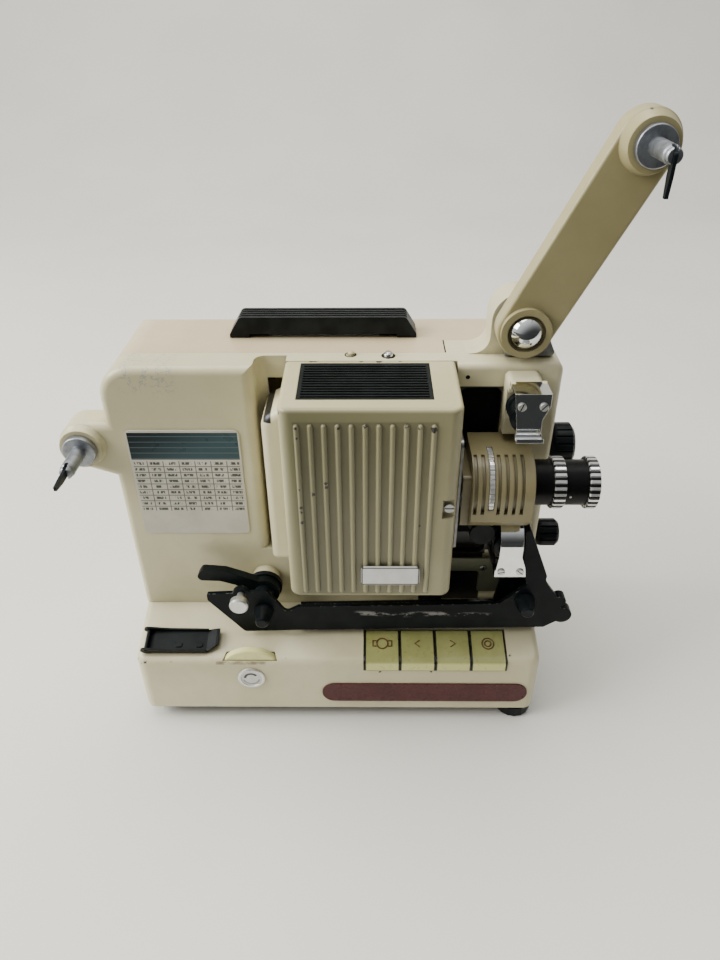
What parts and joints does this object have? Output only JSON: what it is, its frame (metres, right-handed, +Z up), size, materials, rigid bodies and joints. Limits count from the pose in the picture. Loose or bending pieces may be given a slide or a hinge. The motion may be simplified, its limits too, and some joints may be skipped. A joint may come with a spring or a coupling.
{
  "type": "film projector",
  "caption": "Small film projector with a folding reel arm, a lamp house with raised ribs, a film path with sprockets and lens, rocking keys on a sloping base and a pull-up carry handle.",
  "frame": {"origin": "on the table, under the middle of the base footprint", "axes": "+X along the machine towards the lens, +Y to the back, +Z up"},
  "size_m": [0.3101, 0.1455, 0.352],
  "materials": {
    "cream_enamel": "cream enamel paint, semi-gloss",
    "beige_enamel": "beige enamel paint, semi-gloss",
    "black_metal": "black paint, satin",
    "zinc": "mottled zinc",
    "chrome_parts": "polished chrome",
    "steel": "ground steel",
    "black_plastic": "black plastic",
    "silver_plastic": "silver-coloured plastic with fine knurling",
    "ivory_plastic": "yellowed ivory plastic",
    "maroon": "maroon enamel",
    "silver_badge": "plain silver plate",
    "rubber": "black rubber",
    "glass": "clear coated glass",
    "bulb_glass": "clear glass"
  },
  "bodies": {
    "housing": {"base_housing": "cream_enamel", "bottom_plate": "black_metal", "foot_left_front": "rubber", "foot_left_rear": "rubber", "name_strip": "maroon", "key_shaft": "steel", "film_cutter_base": "black_metal", "front_casting": "cream_enamel", "rear_cover": "beige_enamel", "mains_inlet": "black_plastic", "film_path_liner": "black_metal", "gate_plate": "steel", "loop_guide": "black_plastic", "lower_guide_plate": "cream_enamel", "film_chute": "black_metal", "chute_collar": "black_plastic", "arm_bracket_plate": "zinc", "arm_pivot_cap": "chrome_parts", "lamp_mount": "steel", "lamp_bulb": "bulb_glass", "condenser_holder": "black_metal", "condenser_lens": "glass"},
    "speed_wheel": {"speed_thumbwheel": "ivory_plastic"},
    "key_lamp_body": {"key_lamp": "ivory_plastic"},
    "key_reverse_body": {"key_reverse": "ivory_plastic"},
    "key_forward_body": {"key_forward": "ivory_plastic"},
    "key_stop_body": {"key_stop": "ivory_plastic"},
    "cutter": {"film_cutter_lever": "black_metal"},
    "tilt_front": {"tilt_foot_front": "black_plastic"},
    "tilt_rear": {"tilt_foot_rear": "black_plastic"},
    "lamp_house": {"lamp_cover": "cream_enamel", "lamp_grille": "black_metal", "cover_screw": "steel", "badge_plate": "silver_badge"},
    "handle": {"carry_handle": "black_plastic"},
    "arm": {"reel_arm": "cream_enamel"},
    "supply": {"supply_spindle": "zinc"},
    "supply_catch": {"supply_latch": "black_plastic"},
    "takeup": {"takeup_spindle": "zinc"},
    "takeup_catch": {"takeup_latch": "black_plastic"},
    "carrier": {"lens_carrier": "cream_enamel", "pressure_plate": "steel"},
    "focus": {"focus_ring": "silver_plastic"},
    "lens": {"lens_barrel": "black_metal", "lens_front_ring": "chrome_parts", "lens_glass": "glass"},
    "zoom": {"zoom_ring": "chrome_parts"},
    "drive": {"main_shaft": "steel", "shutter": "black_metal", "inching_knob": "black_plastic"},
    "sprocket_up": {"upper_sprocket": "black_plastic"},
    "sprocket_low": {"lower_sprocket": "black_plastic"},
    "shoe_up": {"upper_shoe": "chrome_parts"},
    "shoe_low": {"lower_shoe": "chrome_parts"},
    "lever": {"chute_lever": "black_metal"},
    "thumbscrew": {"chute_thumbscrew": "steel"},
    "roller_left": {"chute_roller_left": "black_plastic"},
    "roller_right": {"chute_roller_right": "black_plastic"},
    "framing": {"framing_knob": "black_plastic"},
    "button": {"top_button": "cream_enamel"}
  },
  "joints": [
    {"name": "speed_wheel_turn", "type": "hinge", "parent": "housing", "child": "speed_wheel", "pos_m": [-0.0538, -0.0663, 0.0398], "axis": [0, 1, 0], "range_deg": [-135, 135]},
    {"name": "key_lamp_press", "type": "hinge", "parent": "housing", "child": "key_lamp_body", "pos_m": [0.0276, -0.0645, 0.0495], "axis": [-1, 0, 0], "range_deg": [0, 7], "stiffness_Nm_per_rad": 0.2, "springref_deg": -5.73},
    {"name": "key_reverse_press", "type": "hinge", "parent": "housing", "child": "key_reverse_body", "pos_m": [0.04945, -0.0645, 0.0495], "axis": [-1, 0, 0], "range_deg": [0, 7], "stiffness_Nm_per_rad": 0.2, "springref_deg": -5.73},
    {"name": "key_forward_press", "type": "hinge", "parent": "housing", "child": "key_forward_body", "pos_m": [0.0713, -0.0645, 0.0495], "axis": [-1, 0, 0], "range_deg": [0, 7], "stiffness_Nm_per_rad": 0.2, "springref_deg": -5.73},
    {"name": "key_stop_press", "type": "hinge", "parent": "housing", "child": "key_stop_body", "pos_m": [0.09315, -0.0645, 0.0495], "axis": [-1, 0, 0], "range_deg": [0, 7], "stiffness_Nm_per_rad": 0.2, "springref_deg": -5.73},
    {"name": "cutter_lift", "type": "hinge", "parent": "housing", "child": "cutter", "pos_m": [-0.1181, -0.05915, 0.05974], "axis": [0, -0.9504, -0.3111], "range_deg": [0, 70]},
    {"name": "tilt_front_screw", "type": "slide", "parent": "housing", "child": "tilt_front", "axis": [0, 0, -1], "range_m": [0, 0.012]},
    {"name": "tilt_rear_screw", "type": "slide", "parent": "housing", "child": "tilt_rear", "axis": [0, 0, -1], "range_m": [0, 0.012]},
    {"name": "lamp_house_slide", "type": "slide", "parent": "housing", "child": "lamp_house", "axis": [0, -1, 0], "range_m": [0, 0.06]},
    {"name": "handle_pull", "type": "slide", "parent": "housing", "child": "handle", "axis": [0, 0, 1], "range_m": [0, 0.022]},
    {"name": "arm_fold", "type": "hinge", "parent": "housing", "child": "arm", "pos_m": [0.0986, -0.024, 0.2497], "axis": [0, -1, 0], "range_deg": [0, 116]},
    {"name": "supply_turn", "type": "hinge", "parent": "arm", "child": "supply", "pos_m": [0.14222, -0.039, 0.33757], "axis": [0, 1, 0], "continuous": true},
    {"name": "supply_latch_fold", "type": "hinge", "parent": "supply", "child": "supply_catch", "pos_m": [0.14222, -0.0586, 0.33757], "axis": [-1, 0, 0], "range_deg": [0, 90]},
    {"name": "takeup_turn", "type": "hinge", "parent": "housing", "child": "takeup", "pos_m": [-0.14, -0.039, 0.184], "axis": [0, 1, 0], "continuous": true},
    {"name": "takeup_latch_fold", "type": "hinge", "parent": "takeup", "child": "takeup_catch", "pos_m": [-0.14, -0.0586, 0.184], "axis": [1, 0, 0], "range_deg": [0, 90]},
    {"name": "gate_open", "type": "slide", "parent": "housing", "child": "carrier", "axis": [1, 0, 0], "range_m": [0, 0.01]},
    {"name": "focus_turn", "type": "hinge", "parent": "carrier", "child": "focus", "pos_m": [0.0836, -0.048, 0.1709], "axis": [1, 0, 0], "range_deg": [-180, 180]},
    {"name": "lens_focus", "type": "slide", "parent": "carrier", "child": "lens", "axis": [1, 0, 0], "range_m": [-0.0026, 0.0026]},
    {"name": "zoom_turn", "type": "hinge", "parent": "lens", "child": "zoom", "pos_m": [0.12, -0.048, 0.1709], "axis": [1, 0, 0], "range_deg": [-45, 45]},
    {"name": "inching_turn", "type": "hinge", "parent": "housing", "child": "drive", "pos_m": [0.09, -0.008, 0.171], "axis": [1, 0, 0], "continuous": true},
    {"name": "upper_sprocket_turn", "type": "hinge", "parent": "housing", "child": "sprocket_up", "pos_m": [0.099, -0.046, 0.2129], "axis": [0, 1, 0], "continuous": true},
    {"name": "lower_sprocket_turn", "type": "hinge", "parent": "housing", "child": "sprocket_low", "pos_m": [0.099, -0.046, 0.1289], "axis": [0, 1, 0], "continuous": true},
    {"name": "upper_shoe_open", "type": "hinge", "parent": "housing", "child": "shoe_up", "pos_m": [0.1001, -0.0435, 0.2272], "axis": [-1, 0, 0], "range_deg": [0, 70], "stiffness_Nm_per_rad": 0.01, "springref_deg": -22.92},
    {"name": "lower_shoe_open", "type": "hinge", "parent": "housing", "child": "shoe_low", "pos_m": [0.1001, -0.0435, 0.1121], "axis": [1, 0, 0], "range_deg": [0, 60], "stiffness_Nm_per_rad": 0.01, "springref_deg": -22.92},
    {"name": "chute_lever_turn", "type": "hinge", "parent": "housing", "child": "lever", "pos_m": [-0.0448, -0.044, 0.088], "axis": [0, 1, 0], "range_deg": [-15, 20]},
    {"name": "thumbscrew_turn", "type": "hinge", "parent": "housing", "child": "thumbscrew", "pos_m": [-0.0574, -0.06, 0.093], "axis": [0, 1, 0], "continuous": true},
    {"name": "roller_left_turn", "type": "hinge", "parent": "housing", "child": "roller_left", "pos_m": [-0.0448, -0.06, 0.0795], "axis": [0, 1, 0], "continuous": true},
    {"name": "roller_right_turn", "type": "hinge", "parent": "housing", "child": "roller_right", "pos_m": [0.113, -0.06, 0.0885], "axis": [0, 1, 0], "continuous": true},
    {"name": "framing_turn", "type": "hinge", "parent": "housing", "child": "framing", "pos_m": [0.13, -0.01, 0.1066], "axis": [1, 0, 0], "range_deg": [-90, 90]},
    {"name": "button_press", "type": "slide", "parent": "housing", "child": "button", "axis": [0, 0, -1], "range_m": [0, 0.002], "stiffness_N_per_m": 300, "springref_m": -0.001}
  ],
  "couplings": [
    {"joint": "lens_focus", "follows": "focus_turn", "m_per_rad": 0.0008},
    {"joint": "upper_sprocket_turn", "follows": "inching_turn", "ratio": 0.083333},
    {"joint": "lower_sprocket_turn", "follows": "inching_turn", "ratio": 0.083333}
  ]
}
